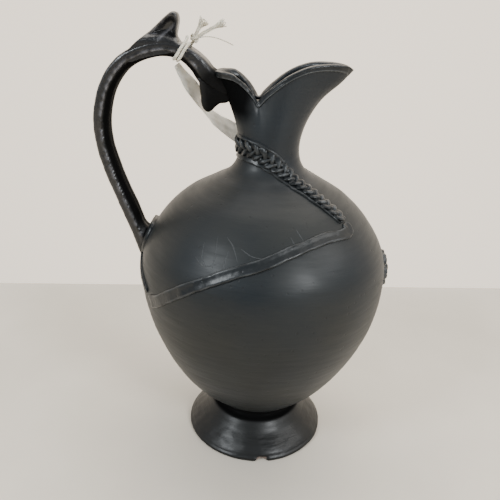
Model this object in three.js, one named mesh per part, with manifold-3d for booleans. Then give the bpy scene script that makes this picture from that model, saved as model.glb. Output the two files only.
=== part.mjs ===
// A black-clay jug: a hollow round body on a flared foot, a pinched mouth with a long spout,
// a strap handle with a thumb rest, an applied border and a plait round the neck,
// and a paper label tied to the handle with cotton twine.
//
// Millimetres, +Z up, the spout towards +X. The origin is on the table, under the middle of
// the jug's box, so the axis of the pot stands at x = AXIS_X.

import * as THREE from 'three';
import { LoftGeometry } from 'three/addons/geometries/LoftGeometry.js';
import { mergeVertices } from 'three/addons/utils/BufferGeometryUtils.js';
import Module from 'manifold-3d';

const radians = THREE.MathUtils.degToRad;
const mix = THREE.MathUtils.lerp;
const smoothstep = THREE.MathUtils.smoothstep;
const point = (x, y, z) => new THREE.Vector3(x, y, z);

// ---------------------------------------------------------------- driving dimensions

const AXIS_X = 9;
const GAP = 0.3;
const SEGMENTS = 48;

// Outer skin of body and neck, [radius, height], from the middle of the floor to the neck.
const SKIN_OUTLINE = [
  [0, 17.5], [13, 18.2], [24, 22.6], [33.1, 30], [44.1, 42], [55.2, 60], [63.1, 80],
  [67.2, 103], [65.2, 120], [55.9, 136], [44, 148], [30.8, 156], [19.4, 163], [15.5, 172],
  [16.6, 184],
];
const WALL = 4.5;
const NECK_JOINT_Z = 158;

const FOOT_R = 40.8;
const FOOT_RIM_H = 2.4;
const FOOT_RING_W = 5.4;
const FOOT_TOP_R = 24.5;
const FOOT_TOP_WALL = 5.5;
const CHIP_R = 4;
const CHIP_ANGLE = radians(-82.3);

const WAIST_R = 15.5;
const WAIST_Z = 172;
const MOUTH_WALL = 3.9;
const LIP_H = 3;
const LIP_PROUD = 0.8;
const FLARE_FRONT = 2.1;
const FLARE_REAR = 1.75;
const TIP_FULLNESS = 0.08;
// Half of the rim from the spout's tip to the back of the rear lobe, [x, half width, height].
const RIM_HALF = [
  [38.9, 0, 214.3], [36, 4.6, 216], [28.5, 8.6, 216.9], [18, 12, 215.8], [8, 13, 211.6],
  [0, 11.5, 205.6], [-6.8, 8.6, 198.9], [-12.5, 11.4, 206], [-19, 13.3, 210.6],
  [-25.6, 10.2, 211.4], [-29.4, 0, 211],
];

// Centre line of the handle in the plane y = 0, [x, z], from the shoulder to the rear lobe.
const HANDLE_LINE = [
  [-62, 104], [-66, 116], [-69.2, 126], [-72.8, 135.5], [-76.5, 144.5], [-81.9, 159],
  [-85.6, 173], [-85.9, 187], [-82.1, 201.5], [-73.9, 212.6], [-62.5, 218.6], [-52, 220.4],
  [-44, 218.6], [-37.6, 213.5], [-33.2, 207.4], [-26, 202.6], [-21.5, 201],
];
const STRAP_W = 14;
const STRAP_T = 7.5;
// How much the strap thickens inwards at its root, and outwards where it meets the lip.
const ROOT_SWELL = 9;
const MOUTH_SWELL = 2.5;
const STRING_AT = 0.829;
const TWINE_R = 0.75;

const BORDER_W = 5.6;
const BORDER_END_W = 7.4;
const BORDER_T = 1.5;
const PLAIT_TURNS = 12;
const STRAND_HALF_W = 1.02;
const STRAND_HALF_T = 0.46;

const LABEL_W = 10;
const LABEL_T = 0.6;

// ---------------------------------------------------------------- finishes

const finish = (color, roughness) => new THREE.MeshStandardMaterial({ color, roughness, metalness: 0 });
const bodyClay = () => finish(0x3e4042, 0.55);
const neckClay = () => finish(0x323335, 0.6);
const footClay = () => finish(0x2b2b2d, 0.4);
const reliefClay = () => finish(0x37383a, 0.5);
const cotton = () => finish(0xcfc9b8, 0.9);
const labelPaper = () => finish(0xbdb9ae, 0.7);

// ---------------------------------------------------------------- solids

const wasm = await Module();
wasm.setup();

// The same surface with shared corners, and without the flat triangles at a pole.
function weld(geometry) {
  const bare = new THREE.BufferGeometry();
  bare.setAttribute('position', geometry.attributes.position);
  bare.setIndex(geometry.index);
  const welded = mergeVertices(bare, 1e-4);
  const corners = welded.index.array;
  const kept = [];
  for (let i = 0; i < corners.length; i += 3) {
    const [a, b, c] = [corners[i], corners[i + 1], corners[i + 2]];
    if (a !== b && b !== c && c !== a) kept.push(a, b, c);
  }
  welded.setIndex(kept);
  return welded;
}

function toSolid(geometry) {
  const welded = weld(geometry);
  return new wasm.Manifold(new wasm.Mesh({
    numProp: 3,
    vertProperties: new Float32Array(welded.attributes.position.array),
    triVerts: new Uint32Array(welded.index.array),
  }));
}

function toGeometry(solid) {
  const mesh = solid.getMesh();
  const geometry = new THREE.BufferGeometry();
  geometry.setAttribute('position', new THREE.BufferAttribute(mesh.vertProperties, 3));
  geometry.setIndex(new THREE.BufferAttribute(mesh.triVerts, 1));
  geometry.computeVertexNormals();
  return geometry;
}

// What is left of a piece once its neighbours, each already grown by the gap, are taken away.
function cut(geometry, ...tools) {
  const left = tools.reduce((solid, tool) => solid.subtract(toSolid(tool)), toSolid(geometry));
  return toGeometry(left);
}

function signedVolume(geometry) {
  const corner = geometry.attributes.position;
  const a = point();
  const b = point();
  const c = point();
  let volume = 0;
  for (let i = 0; i < geometry.index.count; i += 3) {
    a.fromBufferAttribute(corner, geometry.index.getX(i));
    b.fromBufferAttribute(corner, geometry.index.getX(i + 1));
    c.fromBufferAttribute(corner, geometry.index.getX(i + 2));
    volume += a.dot(b.cross(c)) / 6;
  }
  return volume;
}

// A skin through rings of points. A loop of rings joins up. Any other run is capped at both
// ends, unless it ends in poles, rings that have shrunk to a point.
function loft(rings, ends = 'caps') {
  const build = (list) => {
    const sections = ends === 'loop' ? [...list, list[0]] : list;
    return new LoftGeometry(sections, { capStart: ends === 'caps', capEnd: ends === 'caps' });
  };
  const geometry = build(rings);
  if (signedVolume(geometry) > 0) return geometry;
  return build(rings.map((ring) => [...ring].reverse()));
}

// Offsets of an oval section, from the middle: half width a, half thickness b.
function ovalSection(a, b, count) {
  return Array.from({ length: count }, (_, i) => {
    const angle = (i + 0.5) / count * 2 * Math.PI;
    return [a * Math.cos(angle), b * Math.sin(angle)];
  });
}

// ---------------------------------------------------------------- the pot's outer skin

const skin = new THREE.CatmullRomCurve3(SKIN_OUTLINE.map(([r, z]) => point(r, 0, z)));
skin.curveType = 'centripetal';
skin.arcLengthDivisions = 400;
const SKIN_LENGTH = skin.getLength();

// Share of the skin's length, measured from the floor, at a height.
function shareAt(z) {
  let low = 0;
  let high = 1;
  while (high - low > 1e-6) {
    const middle = (low + high) / 2;
    if (skin.getPointAt(middle).z < z) low = middle;
    else high = middle;
  }
  return low;
}

// [radius, height] of a point at a share of the skin's length, lifted off it along its normal.
function skinProfile(share, lift = 0) {
  const at = skin.getPointAt(share);
  const along = skin.getTangentAt(share);
  if (share === 0) return [0, at.z - lift];
  return [at.x + along.z * lift, at.z - along.x * lift];
}

function skinPoint(angle, share, lift) {
  const [r, z] = skinProfile(share, lift);
  return point(r * Math.cos(angle), r * Math.sin(angle), z);
}

function profileRun(from, to, steps, lift) {
  return Array.from({ length: steps + 1 }, (_, i) => skinProfile(mix(from, to, i / steps), lift));
}

// A solid of revolution about the pot's axis, from [radius, height] points.
function turned(profile) {
  const outline = profile.map(([r, z]) => new THREE.Vector2(r, z));
  const geometry = new THREE.LatheGeometry(outline, SEGMENTS);
  geometry.rotateX(Math.PI / 2);
  geometry.rotateZ(Math.PI / 2);
  return geometry;
}

function bodyGeometry() {
  const top = shareAt(NECK_JOINT_Z);
  const outside = profileRun(0, top, 16, 0);
  const inside = profileRun(0, top, 11, -WALL).reverse();
  return turned([...outside, ...inside]);
}

// Body and neck as one filled solid up to the waist, grown by a lift, to cut what stands on them.
function potEnvelope(lift) {
  const outside = profileRun(0, shareAt(WAIST_Z), 30, lift);
  const [, topZ] = outside[outside.length - 1];
  return turned([...outside, [0, topZ]]);
}

function footGeometry() {
  const under = (r) => {
    let share = 0;
    while (skin.getPointAt(share).x < r) share += 0.001;
    return skin.getPointAt(share).z - 2 * GAP;
  };
  const innerTop = FOOT_TOP_R - FOOT_TOP_WALL;
  const innerFoot = FOOT_R - FOOT_RING_W;
  const ring = turned([
    [innerFoot, 0], [FOOT_R, 0], [FOOT_R, FOOT_RIM_H], [39.4, 4.2], [35.2, 8], [30.6, 12.4],
    [27.4, 16.4], [26.3, 18.6], [FOOT_TOP_R, 19.6], [22.4, under(22.4)], [innerTop, under(innerTop)],
    [innerTop + 0.6, 15.5], [22.6, 11.6], [28, 7], [33, 3], [innerFoot, 0],
  ]);
  const chip = new THREE.IcosahedronGeometry(CHIP_R, 1);
  chip.scale(1, 0.7, 0.75);
  chip.rotateZ(CHIP_ANGLE + Math.PI / 2);
  chip.translate(FOOT_R * Math.cos(CHIP_ANGLE), (FOOT_R + 1) * Math.sin(CHIP_ANGLE), 0);
  return cut(ring, chip);
}

// ---------------------------------------------------------------- neck and mouth

const rimPoints = [
  ...RIM_HALF.map(([x, half, z]) => point(x, half, z)),
  ...RIM_HALF.slice(1, -1).reverse().map(([x, half, z]) => point(x, -half, z)),
];
const rim = new THREE.CatmullRomCurve3(rimPoints, true, 'centripetal');

// Outward direction, in plan, of the rim at a share of its round.
function rimSide(share) {
  const along = rim.getTangent(share);
  return point(along.y, -along.x, 0).normalize();
}

// A point of the mouth's wall: rise runs from the waist (0) to the rim (1), inset goes inwards.
function mouthPoint(share, rise, inset) {
  const angle = share * 2 * Math.PI;
  const edge = rim.getPoint(share);
  const side = rimSide(share);
  const rear = (1 - Math.cos(angle)) / 2;
  const fullness = TIP_FULLNESS * smoothstep(edge.x, 26, 38) * Math.exp(-(((rise - 0.86) / 0.09) ** 2));
  const flare = rise ** mix(FLARE_FRONT, FLARE_REAR, rear) + fullness;
  const waist = WAIST_R - inset;
  return point(
    mix(waist * Math.cos(angle), edge.x - side.x * inset, flare),
    mix(waist * Math.sin(angle), edge.y - side.y * inset, flare),
    mix(WAIST_Z, edge.z, rise),
  );
}

// The rise at a depth below the rim.
const riseBelow = (share, depth) => 1 - depth / (rim.getPoint(share).z - WAIST_Z);

const MOUTH_STATIONS = Array.from({ length: 40 }, (_, i) => i / 40);

function neckAndSpoutGeometry() {
  const joint = shareAt(NECK_JOINT_Z) + GAP / SKIN_LENGTH;
  const waist = shareAt(WAIST_Z);
  const lowShares = [0, 0.35, 0.7].map((step) => mix(joint, waist, step));
  const rises = [0, 0.3, 0.55, 0.8];
  const shell = loft(MOUTH_STATIONS.map((share) => {
    const angle = share * 2 * Math.PI;
    const top = riseBelow(share, LIP_H);
    const wall = (inset, lift) => [
      ...lowShares.map((low) => skinPoint(angle, low, lift)),
      ...rises.map((rise) => mouthPoint(share, rise * top, inset)),
      mouthPoint(share, top, inset),
    ];
    return [...wall(0, 0), ...wall(MOUTH_WALL, -MOUTH_WALL).reverse()];
  }), 'loop');
  return cut(shell, lipCoilGeometry(GAP));
}

function lipCoilGeometry(grow = 0) {
  const low = LIP_H + grow;
  const out = -LIP_PROUD - grow;
  const inside = MOUTH_WALL + grow;
  const section = [
    [low, out + 0.4], [low * 0.9, out], [LIP_H * 0.4, out], [0.3, -0.2 - grow], [-grow, 1.1],
    [0.1 - grow, MOUTH_WALL - 1], [0.9, inside], [low, inside],
  ];
  return loft(MOUTH_STATIONS.map((share) => section.map(([depth, inset]) => (
    mouthPoint(share, riseBelow(share, depth), inset)
  ))), 'loop');
}

// Neck and mouth as one filled solid, grown by the gap, to cut what joins them.
function mouthEnvelope() {
  const level = (riseOf, inset) => MOUTH_STATIONS.map((share) => mouthPoint(share, riseOf(share), inset));
  const underLip = (share) => riseBelow(share, LIP_H + GAP);
  const rings = [0, 0.2, 0.4, 0.6, 0.8, 0.9].map((rise) => level((share) => rise * underLip(share), -GAP));
  rings.push(level(underLip, -GAP));
  rings.push(level(underLip, -GAP - LIP_PROUD));
  rings.push(level((share) => riseBelow(share, -GAP), -GAP - LIP_PROUD));
  return loft(rings);
}

// ---------------------------------------------------------------- handle

const handle = new THREE.CatmullRomCurve3(HANDLE_LINE.map(([x, z]) => point(x, 0, z)), false, 'centripetal');

// A point on or round the strap: across is along Y, out is away from the loop.
function strapPoint(share, across, out, slide = 0) {
  const along = handle.getTangentAt(share);
  const outward = point(-along.z, 0, along.x);
  return handle.getPointAt(share)
    .addScaledVector(along, slide)
    .addScaledVector(outward, out)
    .add(point(0, across, 0));
}

// Half of the strap's section from the outer face to the inner one, as shares of half its
// width and half its thickness: flat outside, upright sides, and sloping in underneath.
const STRAP_HALF_SECTION = [[0, 1], [0.84, 0.95], [1, 0.7], [1, -0.3], [0.72, -0.72], [0.36, -1]];

function strapGeometry(grow = 0) {
  const steps = 38;
  const half = STRAP_T / 2;
  const section = [
    ...STRAP_HALF_SECTION,
    ...STRAP_HALF_SECTION.slice(1).reverse().map(([across, out]) => [-across, out]),
  ].map(([across, out]) => [
    across * STRAP_W / 2 + Math.sign(across) * grow,
    out * half + Math.sign(out) * grow,
  ]);
  return loft(Array.from({ length: steps + 1 }, (_, i) => {
    const share = i / steps;
    const inwards = ROOT_SWELL * (1 - smoothstep(share, 0.06, 0.15));
    const outwards = MOUTH_SWELL * smoothstep(share, 0.82, 0.95);
    return section.map(([across, out]) => {
      const swell = out > 0 ? outwards * out / half : inwards * out / half;
      return strapPoint(share, across, out + swell);
    });
  }));
}

// A plate cut to an outline in the plane y = 0, with rounded edges, thickness along Y.
function uprightPlate(outline, thickness, bevel) {
  const edge = new THREE.CatmullRomCurve3(outline.map(([x, z]) => point(x, z, 0)), true, 'centripetal');
  const shape = new THREE.Shape(edge.getPoints(outline.length * 2));
  const geometry = new THREE.ExtrudeGeometry(shape, {
    depth: thickness - 2 * bevel,
    bevelThickness: bevel,
    bevelSize: bevel,
    bevelOffset: -bevel,
    bevelSegments: 2,
    steps: 1,
  });
  geometry.translate(0, 0, bevel - thickness / 2);
  geometry.rotateX(Math.PI / 2);
  return geometry;
}

function thumbRestGeometry() {
  const leaf = uprightPlate([
    [-69, 219], [-62.4, 225.5], [-57.4, 230.3], [-52.5, 235], [-48.4, 237.3], [-46.2, 234.4],
    [-47.4, 229], [-48, 225.6], [-47.6, 221.4], [-50, 219], [-55, 218], [-63, 216.8],
  ], 9, 1.2);
  return cut(leaf, strapGeometry(GAP));
}

function handleHookGeometry() {
  const nub = uprightPlate([
    [-36.4, 206], [-36, 202.6], [-35.4, 199], [-35, 195], [-33.9, 192.4], [-31.8, 191],
    [-29.8, 191.8], [-27.6, 194], [-25.4, 195.6], [-22, 196.2], [-20, 198], [-20, 203], [-27, 205],
  ], 12.5, 0.8);
  return cut(nub, strapGeometry(GAP), mouthEnvelope());
}

// ---------------------------------------------------------------- relief on the skin

// A curve drawn on the skin through [degrees round, height] points, in equal steps along it.
// Each sample gives t, the share of the curve's length, the place, and the side direction as
// steps round and along the skin.
function skinPath(route, samples) {
  const flat = new THREE.CatmullRomCurve3(
    route.map(([degrees, z]) => point(radians(degrees), shareAt(z), 0)), false, 'centripetal');
  const onSkin = new THREE.Curve();
  onSkin.getPoint = (t) => {
    const at = flat.getPoint(t);
    return skinPoint(at.x, at.y, 0);
  };
  onSkin.arcLengthDivisions = 600;
  return Array.from({ length: samples + 1 }, (_, i) => {
    const t = onSkin.getUtoTmapping(i / samples);
    const at = flat.getPoint(t);
    const along = flat.getTangent(t);
    const [radius] = skinProfile(at.y);
    const round = along.x * radius;
    const rise = along.y * SKIN_LENGTH;
    const length = Math.hypot(round, rise);
    return { t: i / samples, angle: at.x, share: at.y, radius, across: [-rise / length, round / length] };
  });
}

// A point beside a path sample, measured on the skin, and lifted off it.
function beside(sample, side, lift) {
  const angle = sample.angle + side * sample.across[0] / sample.radius;
  const share = sample.share + side * sample.across[1] / SKIN_LENGTH;
  return skinPoint(angle, share, lift);
}

// A flat band on the skin with its edges rounded down; width may vary along it.
function skinBand(route, samples, widthAt, thickness, lift) {
  return loft(skinPath(route, samples).map((sample) => {
    const half = widthAt(sample.t) / 2;
    return [
      beside(sample, -half, lift), beside(sample, half, lift),
      beside(sample, half, lift + thickness * 0.6), beside(sample, half * 0.7, lift + thickness),
      beside(sample, -half * 0.7, lift + thickness), beside(sample, -half, lift + thickness * 0.6),
    ];
  }));
}

// The relief is laid by hand: the left side follows the right, but falls back towards the front.
const FRONT_SETBACK = 14;
const leftOf = (degrees) => FRONT_SETBACK * (180 + degrees) / 144 - degrees;
const leftRoute = (route) => route.map(([degrees, z]) => [leftOf(degrees), z]);

// A half route that ends at the back, carried on round the pot to the left side's corner.
const roundRoute = (half) => [
  ...half,
  ...half.slice(0, -1).reverse().map(([degrees, z]) => [leftOf(degrees) - 360, z]),
];

const BORDER_ROUTE = [
  [-38, 141.2], [-55, 141.5], [-66, 140.1], [-78, 137.4], [-90, 133.2], [-103, 128.6],
  [-112, 124], [-121, 118.3], [-131, 110.6], [-140, 103.4], [-146, 100],
];
const TAIL_ROUTE = [[-171, 112.5], [-165, 109], [-158, 106.2], [-152.5, 103.8]];
const COLLAR_ROUTE = roundRoute([
  [-38, 146.2], [-41, 150.5], [-45, 154.8], [-54, 160], [-68, 165.8], [-86, 170.2],
  [-106, 172.8], [-130, 174.3], [-180, 174.8],
]);
const PLAIT_ROUTE = roundRoute([
  [-36, 145.8], [-40, 152], [-44.5, 157.4], [-56, 162.6], [-71, 167], [-86, 170.3],
  [-101, 173], [-122, 175], [-180, 175.4],
]);
const COLLAR_LIFT = 0.4;
const COLLAR_T = 0.8;

const borderWidth = (t) => mix(BORDER_W, BORDER_END_W, t ** 6) * (t > 0.98 ? 0.75 : 1);
const borderGeometry = (route) => skinBand(route, 26, borderWidth, BORDER_T, GAP);
const tailGeometry = (route) => skinBand(route, 8, (t) => mix(3.4, 2, t), 1.2, GAP);

function collarGeometry() {
  const width = (t) => mix(5.4, 12.5, Math.sin(Math.PI * t) ** 1.2);
  const band = skinBand(COLLAR_ROUTE, 40, width, COLLAR_T, COLLAR_LIFT);
  return cut(band, potEnvelope(GAP), mouthEnvelope());
}

// One of three strands: it weaves from side to side, and over and under twice as often.
function strandGeometry(strand) {
  const bed = COLLAR_LIFT + COLLAR_T + GAP + 0.1;
  const section = ovalSection(STRAND_HALF_W, STRAND_HALF_T, 6);
  const weave = 1.12;
  return loft(skinPath(PLAIT_ROUTE, PLAIT_TURNS * 8).map((sample) => {
    const phase = 2 * Math.PI * (PLAIT_TURNS * sample.t + strand / 3);
    const spread = mix(1.9, 3.2, Math.sin(Math.PI * sample.t) ** 0.5);
    const side = spread * Math.sin(phase);
    const height = bed + STRAND_HALF_T + weave * (1 + Math.sin(2 * phase));
    return section.map(([a, b]) => beside(sample, side + a, height + b));
  }));
}

// The pad of clay that the handle stands on, a tongue that ends in a point.
function rootPadGeometry() {
  const rows = [
    [129, 8], [126, 10.6], [122, 11.8], [118, 10.6], [114, 7.6], [110.5, 4.2], [108, 1.2],
  ];
  const rings = rows.map(([z, half], i) => {
    const share = shareAt(z);
    const [radius] = skinProfile(share);
    const top = GAP + mix(2.2, 1.1, i / (rows.length - 1));
    const place = (side, lift) => skinPoint(Math.PI + side * half / radius, share, lift);
    return [
      place(-1, GAP), place(-0.5, GAP), place(0, GAP), place(0.5, GAP), place(1, GAP),
      place(0.9, top - 0.5), place(0.5, top), place(0, top), place(-0.5, top), place(-0.9, top - 0.5),
    ];
  });
  return loft(rings);
}

// The flower on the front: scalloped petals that swell and fall towards their edge.
const FLOWER_Z = 109.2;
const FLOWER_R = 10.6;
const FLOWER_RELIEF = 2;
const PETALS = 6;

function flowerDisc(radiusAt, levels) {
  const share = shareAt(FLOWER_Z);
  const [radius] = skinProfile(share);
  const spokes = PETALS * 6;
  return loft(levels.map(([reach, lift]) => Array.from({ length: spokes }, (_, i) => {
    const angle = i / spokes * 2 * Math.PI;
    const away = reach * radiusAt(angle);
    return skinPoint(away * Math.cos(angle) / radius, share + away * Math.sin(angle) / SKIN_LENGTH, lift);
  })), 'poles');
}

function flowerGeometry() {
  const scallop = (angle) => FLOWER_R * (0.86 + 0.14 * Math.cos(PETALS * angle));
  const top = GAP + FLOWER_RELIEF;
  return flowerDisc(scallop, [
    [0, GAP], [0.45, GAP], [0.92, GAP], [1, GAP + 0.7], [0.85, top - 0.6], [0.6, top],
    [0.3, top - 0.4], [0, top - 0.4],
  ]);
}

function flowerCentreGeometry() {
  const bed = 2 * GAP + FLOWER_RELIEF - 0.3;
  return flowerDisc(() => 2.6, [[0, bed], [1, bed], [0.95, bed + 0.7], [0.5, bed + 1.3], [0, bed + 1.5]]);
}

// ---------------------------------------------------------------- twine and label

// Two turns of twine round the strap, side by side, that lean towards the knot and rise to it.
const TURN_SPACING = 1.9;
const TURN_LEAN = 1.6;
const LEAN_ANGLE = radians(110);
const KNOT_ANGLE = 57;
const KNOT_OUT = STRAP_T / 2 + 3.8;

function twineTurn(turnAngle, slide, rise) {
  const clear = GAP + TWINE_R + 0.35;
  const power = (value) => Math.sign(value) * Math.abs(value) ** 0.7;
  const across = (STRAP_W / 2 + clear) * power(Math.cos(turnAngle));
  const out = (STRAP_T / 2 + clear) * power(Math.sin(turnAngle)) + rise;
  return strapPoint(STRING_AT, across, out, slide + TURN_LEAN * Math.cos(turnAngle - LEAN_ANGLE));
}

const knotPlace = strapPoint(STRING_AT, 4.6, KNOT_OUT, 2.6);

function knotGeometry(grow = 0) {
  const knot = new THREE.SphereGeometry(2.3 + grow, 12, 8);
  knot.scale(1.3, 1, 0.85);
  knot.rotateY(radians(42));
  return knot.translate(knotPlace.x, knotPlace.y, knotPlace.z);
}

function twineTube(points, radius, steps) {
  const sides = 8;
  const circle = new THREE.Shape(Array.from({ length: sides }, (_, i) => (
    new THREE.Vector2(radius, 0).rotateAround(new THREE.Vector2(), i / sides * 2 * Math.PI)
  )));
  return new THREE.ExtrudeGeometry(circle, {
    steps,
    bevelEnabled: false,
    extrudePath: new THREE.CatmullRomCurve3(points, false, 'centripetal'),
  });
}

function stringTurnsGeometry() {
  const steps = 48;
  const points = Array.from({ length: steps + 1 }, (_, i) => {
    const share = i / steps;
    const fromEnd = Math.min(share, 1 - share);
    const rise = 2.6 * Math.exp(-((fromEnd / 0.045) ** 2));
    return twineTurn(radians(KNOT_ANGLE + 720 * share), mix(-1, 1, share) * TURN_SPACING, rise);
  });
  return cut(twineTube(points, TWINE_R, 56), knotGeometry(GAP));
}

// Tails of twine that leave the knot, as points from the knot's middle.
const BRUSH_ROUTE = [[0, 0, 0], [2.4, 0, 4.8], [5.4, 0, 9]];
const LONG_TAIL_ROUTE = [[1, 1, 0], [8, 3, 4.6], [15.6, 5, 8]];
const THREAD_ROUTE = [[1, -1, -0.5], [10, -1, 1], [20, -3, -2.2]];

function tailGeometryFrom(route, radii) {
  const curve = new THREE.CatmullRomCurve3(route.map(([x, y, z]) => knotPlace.clone().add(point(x, y, z))));
  const steps = radii.length - 1;
  const rings = radii.map((radius, i) => {
    const at = curve.getPoint(i / steps);
    const along = curve.getTangent(i / steps);
    const side = point(0, 1, 0).cross(along).normalize();
    const up = along.clone().cross(side);
    return Array.from({ length: 8 }, (_, j) => {
      const angle = j / 8 * 2 * Math.PI;
      return at.clone()
        .addScaledVector(side, radius * Math.cos(angle))
        .addScaledVector(up, radius * Math.sin(angle));
    });
  });
  return cut(loft(rings), knotGeometry(GAP));
}

// The label is a folded strip that hangs from the twine and turns as it goes down:
// [x, y, z of its middle, degrees that its width is turned from Y towards X].
const LABEL_ROUTE = [
  [-48.2, 0, 212.6, 40], [-45.8, 1.2, 208.4, 45], [-42.6, 3.2, 204, 55], [-39.5, 5.6, 199.2, 38],
  [-36, 8.4, 192.3, 12], [-32.3, 10.4, 187.9, 18], [-27.9, 13, 183.6, 38], [-22.4, 15.4, 179.7, 58],
  [-17, 17.2, 176, 72], [-12, 18.6, 172.7, 74],
];

function labelGeometry() {
  const line = new THREE.CatmullRomCurve3(LABEL_ROUTE.map(([x, y, z]) => point(x, y, z)));
  const turn = new THREE.CatmullRomCurve3(LABEL_ROUTE.map(([, , , degrees]) => point(degrees, 0, 0)));
  const steps = 18;
  return loft(Array.from({ length: steps + 1 }, (_, i) => {
    const share = i / steps;
    const at = line.getPoint(share);
    const along = line.getTangent(share);
    const angle = radians(turn.getPoint(share).x);
    const across = point(Math.sin(angle), Math.cos(angle), 0);
    across.addScaledVector(along, -across.dot(along)).normalize();
    const face = along.clone().cross(across);
    const half = LABEL_W / 2 * Math.min(1, 0.35 + 3.4 * share);
    return [[-1, -1], [1, -1], [1, 1], [-1, 1]].map(([side, out]) => (
      at.clone().addScaledVector(across, side * half).addScaledVector(face, out * LABEL_T / 2)
    ));
  }));
}

// ---------------------------------------------------------------- assembly

const jug = new THREE.Group();
const pot = new THREE.Group();
pot.position.x = AXIS_X;
jug.add(pot);

function add(name, geometry, material) {
  const mesh = new THREE.Mesh(geometry, material);
  mesh.name = name;
  pot.add(mesh);
}

add('body', bodyGeometry(), bodyClay());
add('foot', footGeometry(), footClay());
add('neck_and_spout', neckAndSpoutGeometry(), neckClay());
add('lip_coil', lipCoilGeometry(), neckClay());

add('handle_strap', cut(strapGeometry(), mouthEnvelope(), potEnvelope(2.8)), neckClay());
add('thumb_rest', thumbRestGeometry(), neckClay());
add('handle_hook', handleHookGeometry(), neckClay());
add('handle_root_pad', rootPadGeometry(), bodyClay());
add('root_tail_right', tailGeometry(TAIL_ROUTE), bodyClay());
add('root_tail_left', tailGeometry(leftRoute(TAIL_ROUTE)), bodyClay());

add('border_strip_right', borderGeometry(BORDER_ROUTE), reliefClay());
add('border_strip_left', borderGeometry(leftRoute(BORDER_ROUTE)), reliefClay());
add('collar_band', collarGeometry(), reliefClay());
for (let strand = 1; strand <= 3; strand++) {
  add(`plait_strand_${strand}`, strandGeometry(strand), reliefClay());
}
add('front_flower', flowerGeometry(), reliefClay());
add('front_flower_centre', flowerCentreGeometry(), reliefClay());

add('string_turns', stringTurnsGeometry(), cotton());
add('string_knot', knotGeometry(), cotton());
add('string_tail_brush', tailGeometryFrom(BRUSH_ROUTE, [0.7, 0.9, 1.7, 2.3]), cotton());
add('string_tail_long', tailGeometryFrom(LONG_TAIL_ROUTE, [0.7, 0.8, 0.8, 1.4, 2]), cotton());
add('string_tail_thread', tailGeometryFrom(THREAD_ROUTE, [0.4, 0.4, 0.4, 0.4]), cotton());
add('label', labelGeometry(), labelPaper());

export default jug;
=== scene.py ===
# The looks of a black-clay jug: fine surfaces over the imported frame, their materials, a floor,
# light and a camera. Shapes are drawn in millimetres from the pot's own axis and turned into
# metres in the row's frame when a piece is made.

import math

import bmesh
import bpy
import numpy as np
from mathutils import Matrix, Vector


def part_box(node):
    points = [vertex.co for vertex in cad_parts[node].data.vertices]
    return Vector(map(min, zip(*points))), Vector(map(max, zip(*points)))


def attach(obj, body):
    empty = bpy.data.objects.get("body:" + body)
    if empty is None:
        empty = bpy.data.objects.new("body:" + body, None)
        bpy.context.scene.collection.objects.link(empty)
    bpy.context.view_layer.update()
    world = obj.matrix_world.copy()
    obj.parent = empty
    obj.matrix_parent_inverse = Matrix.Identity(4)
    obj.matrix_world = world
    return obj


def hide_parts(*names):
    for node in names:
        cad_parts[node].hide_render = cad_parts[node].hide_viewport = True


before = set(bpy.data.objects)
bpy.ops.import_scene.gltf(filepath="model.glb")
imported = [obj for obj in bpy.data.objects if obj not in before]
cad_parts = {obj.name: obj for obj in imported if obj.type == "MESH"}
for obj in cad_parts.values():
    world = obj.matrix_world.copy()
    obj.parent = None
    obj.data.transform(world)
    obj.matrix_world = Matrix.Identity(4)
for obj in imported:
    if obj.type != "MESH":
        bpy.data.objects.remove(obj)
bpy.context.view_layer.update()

MM = 0.001
FOOT_LOW, FOOT_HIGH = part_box("foot")
AXIS_X = (FOOT_LOW[0] + FOOT_HIGH[0]) / 2 / MM

# -------------------------------------------------- driving dimensions, mm

SKIN_OUTLINE = [
    (0, 17.5), (13, 18.2), (24, 22.6), (33.1, 30), (44.1, 42), (55.2, 60), (63.1, 80),
    (67.2, 103), (65.2, 120), (55.9, 136), (44, 148), (30.8, 156), (19.4, 163), (15.5, 172),
    (16.6, 184),
]
WALL = 4.5
NECK_JOINT_Z = 158
WAIST_R = 15.5
WAIST_Z = 172
MOUTH_WALL = 3.9
LIP_H = 3
FLARE_FRONT = 2.1
FLARE_REAR = 1.75
TIP_FULLNESS = 0.08
RIM_HALF = [
    (38.9, 0, 214.3), (36, 4.6, 216), (28.5, 8.6, 216.9), (18, 12, 215.8), (8, 13, 211.6),
    (0, 11.5, 205.6), (-4.6, 9.2, 201.2), (-6.8, 8.7, 198.7), (-8.9, 9.5, 201.6),
    (-12.5, 11.4, 206), (-19, 13.3, 210.6), (-25.6, 10.2, 211.4), (-29.4, 0, 211),
]
HANDLE_LINE = [
    (-62, 104), (-66, 116), (-69.2, 126), (-72.8, 135.5), (-76.5, 144.5), (-81.9, 159),
    (-85.6, 173), (-85.9, 187), (-82.1, 201.5), (-73.9, 212.6), (-62.5, 218.6), (-52, 220.4),
    (-44, 218.6), (-37.6, 213.5), (-33.2, 207.4), (-26, 202.6), (-21.5, 201),
]
STRAP_W = 14
STRAP_T = 7.5
ROOT_SWELL = 9
MOUTH_SWELL = 2.5
STRING_AT = 0.829
TWINE_R = 0.75
FOOT_R = 40.8
CHIP_ANGLE = math.radians(-82.3)
CHIP_HALF = 3.6
CHIP_DEPTH = 1.6
CHIP_RISE = 1.4

# -------------------------------------------------- curves and noise

CURVE_STEPS = 3000
WAVES = 9


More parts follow.
